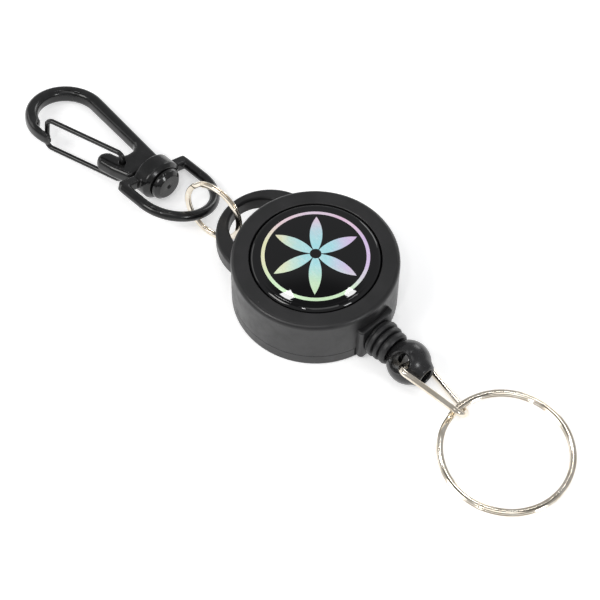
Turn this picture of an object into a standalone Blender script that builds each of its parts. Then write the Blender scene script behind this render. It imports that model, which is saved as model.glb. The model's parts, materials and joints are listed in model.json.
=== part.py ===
"""Retractable badge reel: a round reel case with a spring-wound cord, a snap hook at one
end and a key ring at the other.

Metres, +Z up. The origin is the centre of the flat back face. The cord leaves along +X.
"""

from math import acos, atan2, cos, hypot, pi, radians, sin, sqrt

import bmesh
import bpy
from mathutils import Matrix, Vector

MM = 0.001
GAP = 0.3 * MM

# Case
CASE_R = 19.05 * MM
CASE_H = 14.8 * MM
CASE_EDGE_R = 1.05 * MM
WALL = 1.6 * MM
CAVITY_R = CASE_R - WALL
FLOOR_T = 1.2 * MM
SEAM_Z = 3.3 * MM
SEAM_GAP = 0.15 * MM
RECESS_R = 15.2 * MM
RECESS_Z = 13.2 * MM
CEILING_Z = 12.0 * MM
LABEL_R = 14.9 * MM
LABEL_T = 0.25 * MM
DOME_EDGE_H = 1.4 * MM
DOME_CROWN = 1.2 * MM

# Lug for the small ring, at -X
LUG_CENTRE_X = -14.8 * MM
LUG_R = 12.55 * MM
LUG_Z = (5.1 * MM, 9.5 * MM)
LUG_HOLE_X = -17.5 * MM
LUG_HOLE_R = 7.7 * MM

# Cord outlet, at +X
OUTLET_Z = 5.3 * MM
BLOCK_X = (16.9 * MM, 20.1 * MM)
BLOCK_HALF = 5.0 * MM
BLOCK_Z = (0.5 * MM, 10.4 * MM)
OUTLET_BORE_R = 2.9 * MM
CORD_R = 0.45 * MM
CORD_SPLIT_X = 20.4 * MM

# Reel works, all turned about Z
ARBOR_R = 2.3 * MM
SCREW_R = 1.1 * MM
SCREW_HEAD_R = 2.5 * MM
SPOOL_Z = (2.1 * MM, 10.4 * MM)
SPOOL_R = 16.2 * MM
DRUM_R = 12.4 * MM
DRUM_T = 0.9 * MM
FLANGE_T = 0.9 * MM
WINDING_T = 1.8 * MM
SPRING_Z = (3.3 * MM, 9.0 * MM)
SPRING_T = 0.25 * MM

# Ball end on the cord
BALL_R = 5.05 * MM
BALL_X = 29.93 * MM
BALL_NOSE = ((3.95 * MM, 3.15 * MM), (5.1 * MM, 2.75 * MM), (5.45 * MM, 2.4 * MM))
CROSS_HOLE_R = 2.15 * MM
CROSS_LIP_R = 2.7 * MM
CROSS_LIP_H = 4.6 * MM
CROSS_HOLE_TILT = radians(48)
END_BORE_R = 1.8 * MM

# Wire link, from the ball's cross hole to the key ring
LINK_WIRE_R = 0.75 * MM
LINK_OFFSET = 0.5 * MM
LINK_LENGTH = 16.5 * MM
LINK_HALF = 6.4 * MM
LINK_CORNER = 1.6 * MM
LINK_TIP_R = 2.6 * MM
LINK_PITCH = radians(11)
LINK_YAW = radians(3)
LINK_TILTS = (radians(42), radians(46))

# Split rings
KEY_RING_R = 14.53 * MM
KEY_RING_SECTION = (1.5 * MM, 0.72 * MM)
KEY_RING_AT = 14.5 * MM
KEY_RING_FAR_Z = 1.2 * MM
LUG_RING_R = 7.4 * MM
LUG_RING_SECTION = (1.3 * MM, 0.6 * MM)
LUG_RING_CENTRE = Vector((-29.0, -4.8, 7.9)) * MM
LUG_RING_NORMAL = Vector((-0.183, 0.973, -0.15)).normalized()
TURN_GAP = 0.06 * MM

# Snap hook. Its own axes have X along the swivel, towards the case.
SWIVEL = Vector((-48.3, -6.35, 4.95)) * MM
SWIVEL_PITCH = radians(2.6)
SWIVEL_YAW = radians(1.24)
YOKE_ROLL = radians(-20)
HOOK_ROLL = radians(-11)
COLLAR_R = 4.9 * MM
COLLAR_HALF = 5.6 * MM
COLLAR_X = (-1.4 * MM, 3.3 * MM)
YOKE_BAR_X = (-1.3 * MM, 1.2 * MM)
YOKE_BAR_HALF = 10.6 * MM
YOKE_BAR_H = 2.5 * MM
BAIL_HALF = 9.9 * MM
BAIL_R = 1.25 * MM
BAIL_STRAIGHT_X = 6.8 * MM
BAIL_APEX_X = 16.6 * MM
PIN_R = 1.25 * MM
PIN_HEAD_R = 4.0 * MM
PIN_HEAD_X = (3.6 * MM, 5.3 * MM)
HOOK_T = 3.6 * MM
HOOK_BASE_T = 4.4 * MM
HOOK_BASE_X = -1.7 * MM
BAR_W = 3.15 * MM
NOSE_CENTRE = (-28.3 * MM, -2.8 * MM)
NOSE_R = 10.1 * MM
SPINE_SLOPE = radians(7)
NOSE_ENDS = (radians(-66.5), radians(-107))
GATE_WIRE_R = 0.62 * MM
GATE_HALF = 4.2 * MM
GATE_PIVOT = (-6.5 * MM, -4.3 * MM)
GATE_END = (-26.9 * MM, -10.2 * MM)


def clear_scene():
    for obj in list(bpy.data.objects):
        bpy.data.objects.remove(obj, do_unlink=True)


def material(name, colour, roughness, metallic=0.0):
    made = bpy.data.materials.get(name)
    if made:
        return made
    made = bpy.data.materials.new(name)
    made.use_nodes = True
    shader = made.node_tree.nodes["Principled BSDF"]
    shader.inputs["Base Color"].default_value = (*colour, 1.0)
    shader.inputs["Roughness"].default_value = roughness
    shader.inputs["Metallic"].default_value = metallic
    return made


def black_plastic():
    return material("black_plastic", (0.02, 0.02, 0.022), 0.42)


def black_rubber():
    return material("black_rubber", (0.016, 0.016, 0.017), 0.5)


def black_paint():
    return material("black_painted_zinc", (0.012, 0.012, 0.012), 0.25)


def nickel():
    return material("nickel_plate", (0.78, 0.75, 0.69), 0.18, 1.0)


def spring_steel():
    return material("spring_steel", (0.35, 0.37, 0.42), 0.3, 1.0)


def white_acetal():
    return material("white_acetal", (0.8, 0.8, 0.76), 0.4)


def black_cord():
    return material("black_nylon_cord", (0.02, 0.02, 0.02), 0.7)


def finish(name, bm, look, frame=None):
    """Makes the named object from a bmesh, smooth where it is round."""
    bmesh.ops.recalc_face_normals(bm, faces=bm.faces)
    mesh = bpy.data.meshes.new(name)
    bm.to_mesh(mesh)
    bm.free()
    mesh.shade_smooth()
    mesh.set_sharp_from_angle(angle=radians(35))
    obj = bpy.data.objects.new(name, mesh)
    bpy.context.collection.objects.link(obj)
    if look:
        mesh.materials.append(look)
    if frame:
        obj.parent = frame
    return obj


def axes(name, matrix, parent=None):
    """An empty that stands for a joint's own axes."""
    empty = bpy.data.objects.new(name, None)
    empty.empty_display_size = 5 * MM
    bpy.context.collection.objects.link(empty)
    empty.parent = parent
    empty.matrix_local = matrix
    return empty


def turned_mesh(profile, steps, axis="Z"):
    """A closed (radius, height) profile spun about Z, or about X with height along it."""
    bm = bmesh.new()
    points = [bm.verts.new((r, 0, h)) for r, h in profile]
    edges = [bm.edges.new(pair) for pair in zip(points, points[1:] + points[:1])]
    bmesh.ops.spin(
        bm, geom=points + edges, cent=(0, 0, 0), axis=(0, 0, 1),
        angle=2 * pi, steps=steps, use_merge=True,
    )
    bmesh.ops.remove_doubles(bm, verts=bm.verts, dist=1e-7)
    loose = [edge for edge in bm.edges if not edge.link_faces]
    bmesh.ops.delete(bm, geom=loose, context="EDGES")
    if axis == "X":
        bmesh.ops.rotate(bm, verts=bm.verts, cent=(0, 0, 0), matrix=Matrix.Rotation(pi / 2, 3, "Y"))
    return bm


def turned(name, profile, look, steps=48, axis="Z", frame=None):
    return finish(name, turned_mesh(profile, steps, axis), look, frame)


def prism(name, outline, low, high, look=None, frame=None, edge=0.0):
    """An outline in XY drawn up from low to high, with its rims bevelled."""
    bm = bmesh.new()
    face = bm.faces.new([bm.verts.new((x, y, low)) for x, y in outline])
    drawn = bmesh.ops.extrude_face_region(bm, geom=[face])["geom"]
    tops = [part for part in drawn if isinstance(part, bmesh.types.BMVert)]
    bmesh.ops.translate(bm, verts=tops, vec=(0, 0, high - low))
    obj = finish(name, bm, look, frame)
    if edge:
        bevel = obj.modifiers.new("rims", "BEVEL")
        bevel.width = edge
        bevel.segments = 2
        bevel.limit_method = "ANGLE"
        bevel.angle_limit = radians(50)
    return obj


def box(name, low, high, look=None, frame=None, edge=0.0):
    outline = [(low[0], low[1]), (high[0], low[1]), (high[0], high[1]), (low[0], high[1])]
    return prism(name, outline, low[2], high[2], look, frame, edge)


def in_mm(points):
    return [(x * MM, y * MM) for x, y in points]


def arc(centre, radius, start, end, count):
    """Points from one angle to another, in radians."""
    turns = [start + (end - start) * i / count for i in range(count + 1)]
    return [(centre[0] + radius * cos(a), centre[1] + radius * sin(a)) for a in turns]


def swept_mesh(path, sides, closed=False):
    """A section carried along a path. Each path entry is its point and the section's two half axes."""
    bm = bmesh.new()
    rings = []
    for point, across, along in path:
        turns = [2 * pi * k / sides for k in range(sides)]
        rings.append([bm.verts.new(point + across * cos(a) + along * sin(a)) for a in turns])
    pairs = list(zip(rings, rings[1:] + rings[:1])) if closed else list(zip(rings, rings[1:]))
    for one, two in pairs:
        for k in range(sides):
            n = (k + 1) % sides
            bm.faces.new((one[k], one[n], two[n], two[k]))
    if not closed:
        bm.faces.new(rings[0])
        bm.faces.new(rings[-1])
    return bm


def wire_mesh(points, radius, sides=8, closed=False):
    """A round wire along points, its section carried without twist."""
    points = [Vector(p) for p in points]
    count = len(points)
    path = []
    across = None
    for i, point in enumerate(points):
        ahead = points[(i + 1) % count] if closed or i + 1 < count else point
        behind = points[i - 1] if closed or i else point
        heading = (ahead - behind).normalized()
        if across is None:
            across = heading.orthogonal().normalized()
        across = (across - heading * across.dot(heading)).normalized()
        path.append((point, across * radius, heading.cross(across) * radius))
    return swept_mesh(path, sides, closed)


def modify(obj, other, operation):
    """A Boolean that keeps its operand as a hidden wire helper."""
    change = obj.modifiers.new(other.name, "BOOLEAN")
    change.operation = operation
    change.object = other
    other.hide_render = True
    other.display_type = "WIRE"


def cylinder(name, radius, low, high, axis="Z", frame=None, steps=32):
    profile = [(0, high), (radius, high), (radius, low), (0, low)]
    return turned(name, profile, None, steps, axis, frame)


def make_case_front():
    edge = arc((CASE_R - CASE_EDGE_R, CASE_H - CASE_EDGE_R), CASE_EDGE_R, pi / 2, 0, 4)
    chamfer = 0.25 * MM
    front = turned(
        "case_front",
        [(0, RECESS_Z), (RECESS_R, RECESS_Z), (RECESS_R, CASE_H - chamfer),
         (RECESS_R + chamfer, CASE_H), *edge,
         (CASE_R, SEAM_Z + SEAM_GAP / 2), (0, SEAM_Z + SEAM_GAP / 2)],
        black_plastic(), steps=72,
    )
    lug_round = arc((LUG_CENTRE_X, 0), LUG_R, 0, 2 * pi * 47 / 48, 47)
    lug = prism("lug_blank", lug_round, *LUG_Z, edge=0.5 * MM)
    hole = cylinder("lug_hole", LUG_HOLE_R, 0, CASE_H)
    hole.location.x = LUG_HOLE_X
    modify(lug, hole, "DIFFERENCE")
    modify(front, lug, "UNION")
    block = box(
        "outlet_block", (BLOCK_X[0], -BLOCK_HALF, BLOCK_Z[0]), (BLOCK_X[1], BLOCK_HALF, BLOCK_Z[1]),
        edge=0.7 * MM,
    )
    modify(front, block, "UNION")
    boss_r = 3.4 * MM
    boss_z = 11.0 * MM
    cavity = turned(
        "cavity",
        [(0, boss_z), (boss_r, boss_z), (boss_r, CEILING_Z), (CAVITY_R, CEILING_Z),
         (CAVITY_R, -1 * MM), (0, -1 * MM)],
        None, steps=72,
    )
    keep = box("outlet_keep", (BLOCK_X[0], -BLOCK_HALF, -2 * MM), (BLOCK_X[1], BLOCK_HALF, BLOCK_Z[1]))
    modify(cavity, keep, "DIFFERENCE")
    modify(front, cavity, "DIFFERENCE")
    bore = cylinder("outlet_bore", OUTLET_BORE_R, BLOCK_X[0] - MM, BLOCK_X[1] + MM, "X")
    bore.location.z = OUTLET_Z
    modify(front, bore, "DIFFERENCE")
    seat_r = SCREW_HEAD_R + GAP
    screw_way = turned(
        "screw_way",
        [(0, CASE_H), (seat_r, CASE_H), (seat_r, CEILING_Z), (SCREW_R + GAP, CEILING_Z),
         (SCREW_R + GAP, 10 * MM), (0, 10 * MM)],
        None, steps=24,
    )
    modify(front, screw_way, "DIFFERENCE")


def make_case_back():
    edge_r = 0.5 * MM
    edge = arc((CASE_R - edge_r, edge_r), edge_r, 0, -pi / 2, 3)
    top = SEAM_Z - SEAM_GAP / 2
    back = turned(
        "case_back",
        [(0, FLOOR_T), (CAVITY_R, FLOOR_T), (CAVITY_R, top), (CASE_R, top), *edge, (0, 0)],
        black_plastic(), steps=72,
    )
    notch = box(
        "outlet_notch", (BLOCK_X[0] - GAP, -BLOCK_HALF - GAP, BLOCK_Z[0] - GAP / 2),
        (BLOCK_X[1] + GAP, BLOCK_HALF + GAP, BLOCK_Z[1]),
    )
    modify(back, notch, "DIFFERENCE")


def make_label():
    bottom = RECESS_Z + 0.05 * MM
    top = bottom + LABEL_T
    turned(
        "label_disc", [(0, top), (LABEL_R, top), (LABEL_R, bottom), (0, bottom)],
        material("black_print", (0.01, 0.01, 0.01), 0.3), steps=64,
    )
    base = top + 0.05 * MM
    shoulder = base + DOME_EDGE_H
    sphere_r = (LABEL_R**2 + DOME_CROWN**2) / (2 * DOME_CROWN)
    half = acos(1 - DOME_CROWN / sphere_r)
    crown = [
        (sphere_r * sin(half * i / 6), shoulder + DOME_CROWN - sphere_r * (1 - cos(half * i / 6)))
        for i in range(1, 7)
    ]
    turned(
        "label_dome", [(0, shoulder + DOME_CROWN), *crown, (LABEL_R, base), (0, base)],
        material("clear_resin", (0.95, 0.95, 0.95), 0.03), steps=64,
    )


def make_works():
    foot_r = 3.4 * MM
    foot = FLOOR_T + 0.05 * MM
    step = FLOOR_T + 0.65 * MM
    arbor_top = 10.7 * MM
    bore = SCREW_R + GAP / 2
    bore_low = 5.0 * MM
    arbor = turned(
        "arbor",
        [(0, bore_low), (bore, bore_low), (bore, arbor_top), (ARBOR_R, arbor_top), (ARBOR_R, step),
         (foot_r, step), (foot_r, foot), (0, foot)],
        spring_steel(), steps=32,
    )
    slit = box(
        "arbor_slit", (0, -0.35 * MM, SPRING_Z[0] - GAP), (ARBOR_R + MM, 0.35 * MM, arbor_top + MM)
    )
    modify(arbor, slit, "DIFFERENCE")
    head_low = CEILING_Z + 0.05 * MM
    head_top = head_low + 1.0 * MM
    screw = turned(
        "centre_screw",
        [(0, head_top), (SCREW_HEAD_R - 0.5 * MM, head_top), (SCREW_HEAD_R, head_top - 0.5 * MM),
         (SCREW_HEAD_R, head_low), (SCREW_R, head_low), (SCREW_R, bore_low + GAP), (0, bore_low + GAP)],
        nickel(), steps=24,
    )
    for turn in (0, pi / 2):
        name = "screw_cross_x" if turn == 0 else "screw_cross_y"
        cross = box(name, (-1.5 * MM, -0.3 * MM, head_top - 0.6 * MM), (1.5 * MM, 0.3 * MM, head_top + MM))
        cross.rotation_euler.z = turn
        modify(screw, cross, "DIFFERENCE")
    low, high = SPOOL_Z
    hub = ARBOR_R + GAP + 0.05 * MM
    hub_r = hub + 0.9 * MM
    inner = DRUM_R - DRUM_T
    turned(
        "spool",
        [(hub, high), (SPOOL_R, high), (SPOOL_R, high - FLANGE_T), (DRUM_R, high - FLANGE_T),
         (DRUM_R, low + FLANGE_T), (SPOOL_R, low + FLANGE_T), (SPOOL_R, low), (inner, low),
         (inner, high - FLANGE_T), (hub_r, high - FLANGE_T), (hub_r, SPRING_Z[1] + GAP - 0.1 * MM),
         (hub, SPRING_Z[1] + GAP - 0.1 * MM)],
        white_acetal(), steps=48,
    )
    cover_low = low + 0.1 * MM
    cover_high = cover_low + 0.7 * MM
    turned(
        "spring_cover",
        [(hub, cover_high), (inner - GAP, cover_high), (inner - GAP, cover_low), (hub, cover_low)],
        white_acetal(), steps=48,
    )
    make_mainspring(inner)
    pack_low = low + FLANGE_T + GAP
    pack_high = high - FLANGE_T - GAP
    pack_in = DRUM_R + GAP / 2
    pack_out = pack_in + WINDING_T
    cut = 0.5 * MM
    turned(
        "cord_winding",
        [(pack_in, pack_high), (pack_out - cut, pack_high), (pack_out, pack_high - cut),
         (pack_out, pack_low + cut), (pack_out - cut, pack_low), (pack_in, pack_low)],
        black_cord(), steps=48,
    )


def make_mainspring(inner):
    """A flat spring: three open turns out from the arbor, then turns packed inside the drum."""
    open_turns, packed_turns = 3, 5
    steps = 20
    start_r = ARBOR_R + GAP + SPRING_T
    end_r = inner - GAP - SPRING_T
    pitch = SPRING_T + GAP
    mid_r = end_r - pitch * packed_turns
    low, high = SPRING_Z
    middle = (low + high) / 2
    up = Vector((0, 0, (high - low) / 2 * sqrt(2)))
    path = []
    for i in range(steps * (open_turns + packed_turns) + 1):
        turn = i / steps
        if turn < open_turns:
            r = start_r + (mid_r - start_r) * turn / open_turns
        else:
            r = mid_r + pitch * (turn - open_turns)
        out = Vector((cos(2 * pi * turn), sin(2 * pi * turn), 0))
        path.append((out * r + Vector((0, 0, middle)), out * SPRING_T / 2 * sqrt(2), up))
    finish("mainspring", strip_mesh(path), spring_steel())


def strip_mesh(path):
    """A flat strip with square edges, from points and the half axes of its section."""
    bm = bmesh.new()
    rings = []
    for point, across, up in path:
        corners = ((1, 1), (-1, 1), (-1, -1), (1, -1))
        rings.append([bm.verts.new(point + (across * a + up * b) / sqrt(2)) for a, b in corners])
    for one, two in zip(rings, rings[1:]):
        for k in range(4):
            n = (k + 1) % 4
            bm.faces.new((one[k], one[n], two[n], two[k]))
    bm.faces.new(rings[0])
    bm.faces.new(rings[-1])
    return bm


def make_outlet():
    bush_bore = CORD_R + 0.3 * MM
    bush = turned(
        "cord_bush",
        [(bush_bore, 18.6 * MM), (2.6 * MM, 18.6 * MM), (2.6 * MM, 17.3 * MM), (1.6 * MM, 17.0 * MM),
         (bush_bore, 17.3 * MM)],
        nickel(), steps=24, axis="X",
    )
    bush.location.z = OUTLET_Z
    root_x = BLOCK_X[1] + 0.1 * MM
    bore = CORD_R + 0.45 * MM
    waist_r = 3.3 * MM
    profile = [(bore, 24.8 * MM), (waist_r, 25.75 * MM), (3.7 * MM, 25.75 * MM)]
    for i, crest in enumerate((24.6 * MM, 23.05 * MM, 21.5 * MM)):
        radius = (4.15 + 0.25 * i) * MM
        shoulder = radius - 0.25 * MM
        profile += [(shoulder, crest + 0.45 * MM), (radius, crest), (shoulder, crest - 0.45 * MM)]
        if i < 2:
            profile.append((waist_r + 0.2 * MM * i, crest - 0.78 * MM))
    profile += [(4.2 * MM, root_x), (2.6 * MM, root_x), (2.6 * MM, 18.9 * MM), (bore, 18.9 * MM)]
    boot = turned("strain_relief", profile, black_rubber(), steps=40, axis="X")
    boot.location.z = OUTLET_Z


def make_cord():
    """The cord leaves the winding on a tangent, bends into the bush and runs out along +X."""
    start_angle = radians(26)
    start_r = DRUM_R + GAP / 2 + WINDING_T + CORD_R + 0.15 * MM
    start = Vector((start_r * cos(start_angle), start_r * sin(start_angle), OUTLET_Z))
    end = Vector((17.2 * MM, 0, OUTLET_Z))
    leave = Vector((sin(start_angle), -cos(start_angle), 0)) * 10 * MM
    arrive = Vector((1, 0, 0)) * 5 * MM
    points = []
    for i in range(13):
        t = i / 12
        points.append(
            start * (2 * t**3 - 3 * t**2 + 1) + leave * (t**3 - 2 * t**2 + t)
            + end * (3 * t**2 - 2 * t**3) + arrive * (t**3 - t**2)
        )
    points.append(Vector((CORD_SPLIT_X - 0.1 * MM, 0, OUTLET_Z)))
    finish("cord_lead", wire_mesh(points, CORD_R), black_cord())
    slider = axes("cord_pull_axes", Matrix.Translation((BALL_X, 0, OUTLET_Z)))
    knot_x = -2.85 * MM
    knot_r = 1.1 * MM
    profile = [(0, CORD_SPLIT_X + 0.1 * MM - BALL_X), (CORD_R, CORD_SPLIT_X + 0.1 * MM - BALL_X)]
    reach = -sqrt(knot_r**2 - CORD_R**2)
    first = atan2(CORD_R, reach)
    angles = [first * (1 - i / 6) for i in range(6)]
    profile += [(knot_r * sin(a), knot_x + knot_r * cos(a)) for a in angles]
    profile.append((0, knot_x + knot_r))
    turned("cord_end", list(reversed(profile)), black_cord(), steps=16, axis="X", frame=slider)
    return slider


def make_ball(slider):
    spin = axes("ball_spin_axes", Matrix.Identity(4), slider)
    ball = turned(
        "ball_end",
        [(0, BALL_NOSE[2][0]), *[(r, x) for x, r in reversed(BALL_NOSE)],
         *[(r, x) for x, r in arc((0, 0), BALL_R, radians(45), pi, 14)[:-1]], (0, -BALL_R)],
        black_plastic(), steps=40, axis="X", frame=spin,
    )
    tilt = Matrix.Rotation(pi / 2 - CROSS_HOLE_TILT, 4, "X")
    lip = cylinder("cross_lip", CROSS_LIP_R, -CROSS_LIP_H, CROSS_LIP_H, frame=spin)
    lip.matrix_local = tilt
    modify(ball, lip, "UNION")
    hole = cylinder("cross_hole", CROSS_HOLE_R, -2 * BALL_R, 2 * BALL_R, frame=spin)
    hole.matrix_local = tilt
    modify(ball, hole, "DIFFERENCE")
    cord_way = cylinder("cord_way", CORD_R + GAP, -2 * BALL_R, 0, "X", spin, 16)
    modify(ball, cord_way, "DIFFERENCE")
    knot_seat = cylinder("knot_seat", 1.45 * MM, -4.0 * MM, 0, "X", spin, 24)
    modify(ball, knot_seat, "DIFFERENCE")
    end_bore = cylinder("end_bore", END_BORE_R, 0, 2 * BALL_R, "X", spin, 24)
    modify(ball, end_bore, "DIFFERENCE")
    return spin


def link_outline():
    """The link's centre line as (distance from the hole, offset) from its middle round to its tip."""
    inner = LINK_HALF - LINK_CORNER
    points = [(0, 0), (0, inner / 2), *arc((LINK_CORNER, inner), LINK_CORNER, pi, pi / 2, 4)]
    tip = LINK_LENGTH - LINK_TIP_R
    count = 8
    begin = points[-1]
    for i in range(1, count + 1):
        t = i / count
        points.append((begin[0] + (tip - begin[0]) * t, begin[1] + (LINK_TIP_R - begin[1]) * t))
    points += arc((tip, 0), LINK_TIP_R, pi / 2, 0, 5)[1:]
    return points


def link_turn():
    """The way the link leaves the ball: down a little, and to one side."""
    return Matrix.Rotation(LINK_YAW, 4, "Z") @ Matrix.Rotation(LINK_PITCH, 4, "Y")


def make_link(spin):
    """A bent wire loop whose legs twist a little on the way to its narrow tip."""
    hinge = axes("link_swing_axes", Matrix.Translation((LINK_OFFSET, 0, 0)) @ link_turn(), spin)
    half = link_outline()
    route = half + [(u, -h) for u, h in reversed(half[1:-1])]
    points = []
    for u, h in route:
        tilt = LINK_TILTS[0] + (LINK_TILTS[1] - LINK_TILTS[0]) * min(1, max(0, u / LINK_LENGTH))
        points.append((u, -h * cos(tilt), h * sin(tilt)))
    finish("wire_link", wire_mesh(points, LINK_WIRE_R, closed=True), nickel(), hinge)


def split_ring(name, radius, section, frame, start):
    """Two turns of flattened wire, one on the other, with a jog between them at the start angle."""
    width, thickness = section
    pitch = thickness + TURN_GAP
    jog = radians(24)
    steps = 88
    sweep = 4 * pi - jog
    path = []
    for i in range(steps + 1):
        turned_by = sweep * i / steps
        rise = min(1.0, max(0.0, (turned_by - 2 * pi + jog) / jog))
        angle = start + turned_by
        out = Vector((cos(angle), sin(angle), 0))
        height = Vector((0, 0, pitch * (rise - 0.5)))
        path.append((out * radius + height, out * width / 2, Vector((0, 0, thickness / 2))))
    return finish(name, swept_mesh(path, 8), nickel(), frame)


def make_key_ring():
    """The ring hangs in the link's tip and turns about its own wire there."""
    contact = Vector((BALL_X + LINK_OFFSET, 0, OUTLET_Z)) + link_turn() @ Vector((KEY_RING_AT, 0, 0))
    fall = contact.z - KEY_RING_FAR_Z
    tilt = Matrix.Rotation(atan2(fall, 2 * KEY_RING_R), 4, "Y")
    ring = axes("key_ring_swing_axes", Matrix.Translation(contact) @ tilt)
    obj = split_ring("key_ring", KEY_RING_R, KEY_RING_SECTION, ring, radians(215))
    obj.location.x = KEY_RING_R


def make_lug_ring():
    side = Vector((0, 0, 1)).cross(LUG_RING_NORMAL).normalized()
    rise = LUG_RING_NORMAL.cross(side)
    matrix = Matrix((side, rise, LUG_RING_NORMAL)).transposed().to_4x4()
    matrix.translation = LUG_RING_CENTRE
    ring = axes("lug_ring_axes", matrix)
    split_ring("lug_ring", LUG_RING_R, LUG_RING_SECTION, ring, radians(60))


def swivel_axes(name, roll):
    """The swivel's axis, with its piece rolled about it."""
    heading = Matrix.Rotation(SWIVEL_YAW, 4, "Z") @ Matrix.Rotation(-SWIVEL_PITCH, 4, "Y")
    return axes(name, Matrix.Translation(SWIVEL) @ heading @ Matrix.Rotation(roll, 4, "X"))


def make_yoke():
    yoke_axes = swivel_axes("yoke_axes", YOKE_ROLL)
    yoke = box(
        "swivel_yoke", (YOKE_BAR_X[0], -YOKE_BAR_HALF, -YOKE_BAR_H / 2),
        (YOKE_BAR_X[1], YOKE_BAR_HALF, YOKE_BAR_H / 2), black_paint(), yoke_axes, edge=0.6 * MM,
    )
    depth = BAIL_APEX_X - BAIL_STRAIGHT_X
    bend = [(BAIL_STRAIGHT_X + depth * cos(a), BAIL_HALF * sin(a), 0) for a in
            (pi / 2 - pi * i / 20 for i in range(21))]
    route = [(MM, BAIL_HALF, 0), (BAIL_STRAIGHT_X / 2, BAIL_HALF, 0), *bend,
             (BAIL_STRAIGHT_X / 2, -BAIL_HALF, 0), (MM, -BAIL_HALF, 0)]
    bail = finish("bail", wire_mesh(route, BAIL_R, 12), None, yoke_axes)
    modify(yoke, bail, "UNION")
    collar = turned(
        "collar",
        [(0, COLLAR_X[1]), (COLLAR_R - 0.8 * MM, COLLAR_X[1]), (COLLAR_R, COLLAR_X[1] - 0.8 * MM),
         (COLLAR_R, COLLAR_X[0] + 0.4 * MM), (COLLAR_R - 0.4 * MM, COLLAR_X[0]), (0, COLLAR_X[0])],
        None, 36, "X", yoke_axes,
    )
    collar.scale.y = COLLAR_HALF / COLLAR_R
    modify(yoke, collar, "UNION")
    modify(yoke, cylinder("collar_bore", PIN_R + GAP, -5 * MM, 5 * MM, "X", yoke_axes, 24), "DIFFERENCE")


def hook_outline():
    """The hook's flat outline: base, spine, nose, a notch for the gate, the opening and the gate's lobe."""
    lean = pi / 2 - SPINE_SLOPE
    outer = arc(NOSE_CENTRE, NOSE_R, lean, 2 * pi + NOSE_ENDS[0], 28)
    inner = arc(NOSE_CENTRE, NOSE_R - BAR_W, 2 * pi + NOSE_ENDS[1], lean, 20)
    notch = [(-24.2, -11.4), (-24.8, -10.9), (-26.9, -11.15), (-29.1, -11.0)]
    crook = [(-10.2, 2.4), (-9.1, 1.7), (-8.4, 0.5), (-8.3, -1.3), (-9.0, -3.4)]
    lobe_top = [(-10.0, -3.6), (-11.1, -3.9), (-12.0, -4.9), (-12.4, -6.2)]
    lobe_foot = [(-12.0, -7.7), (-10.5, -8.3), (-6.9, -7.7)]
    base = [(HOOK_BASE_X, -5.9 * MM), (HOOK_BASE_X, 3.9 * MM), (-3.2 * MM, 4.35 * MM)]
    return base + outer + in_mm(notch) + inner + in_mm(crook + lobe_top + lobe_foot)


def make_hook():
    hook_axes = swivel_axes("hook_axes", HOOK_ROLL)
    hook = prism("hook_body", hook_outline(), -HOOK_T / 2, HOOK_T / 2, black_paint(), hook_axes, 0.7 * MM)
    base = box(
        "hook_base", (-5.4 * MM, -4.0 * MM, -HOOK_BASE_T / 2),
        (HOOK_BASE_X + 0.001 * MM, 3.6 * MM, HOOK_BASE_T / 2),
        frame=hook_axes, edge=0.5 * MM,
    )
    modify(hook, base, "UNION")
    modify(hook, cylinder("pin_bore", PIN_R + 0.15 * MM, -5.6 * MM, 0, "X", hook_axes, 24), "DIFFERENCE")
    gate_hole = cylinder("gate_hole", GATE_WIRE_R + GAP, -5 * MM, 5 * MM, frame=hook_axes, steps=16)
    gate_hole.location = (*GATE_PIVOT, 0)
    modify(hook, gate_hole, "DIFFERENCE")
    dimple = 0.6 * MM
    turned(
        "swivel_pin",
        [(0, PIN_HEAD_X[1] - dimple), (0.5 * MM, PIN_HEAD_X[1]), (PIN_HEAD_R - 1.1 * MM, PIN_HEAD_X[1]),
         (PIN_HEAD_R - 0.35 * MM, PIN_HEAD_X[1] - 0.35 * MM), (PIN_HEAD_R, PIN_HEAD_X[1] - 1.0 * MM),
         (PIN_HEAD_R, PIN_HEAD_X[0]), (PIN_R, PIN_HEAD_X[0]), (PIN_R, -5.4 * MM), (0, -5.4 * MM)],
        black_paint(), 28, "X", hook_axes,
    )
    return hook_axes


def make_gate(hook_axes):
    """One wire: in at the top of the lobe, out to the nose, across, back, and in at the bottom."""
    gate_axes = axes("gate_axes", Matrix.Translation((*GATE_PIVOT, 0)), hook_axes)
    reach = Vector((GATE_END[0] - GATE_PIVOT[0], GATE_END[1] - GATE_PIVOT[1], 0))
    length = hypot(reach.x, reach.y)
    along = reach / length
    bend = 1.6 * MM
    half = [(0, 0.5 * MM), (0, GATE_HALF / 2)]
    half += arc((bend, GATE_HALF - bend), bend, pi, pi / 2, 4)
    half += [(length * 0.3, GATE_HALF), (length * 0.5, GATE_HALF), (length * 0.75, GATE_HALF)]
    half += arc((length - bend, GATE_HALF - bend), bend, pi / 2, 0, 4)
    route = half + [(u, -z) for u, z in reversed(half)]
    points = [along * u + Vector((0, 0, z)) for u, z in route]
    finish("wire_gate", wire_mesh(points, GATE_WIRE_R), black_paint(), gate_axes)


def main():
    clear_scene()
    make_case_front()
    make_case_back()
    make_label()
    make_works()
    make_outlet()
    slider = make_cord()
    spin = make_ball(slider)
    make_link(spin)
    make_key_ring()
    make_lug_ring()
    make_yoke()
    make_gate(make_hook())


main()
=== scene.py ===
"""Looks for the retractable badge reel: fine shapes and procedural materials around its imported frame.

Lengths are in metres, in the frame's own axes: +X along the cord, +Z up from the flat back.
"""

import json
from math import acos, atan2, cos, pi, radians, sin, tan

import bmesh
import bpy
from mathutils import Matrix, Vector

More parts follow.
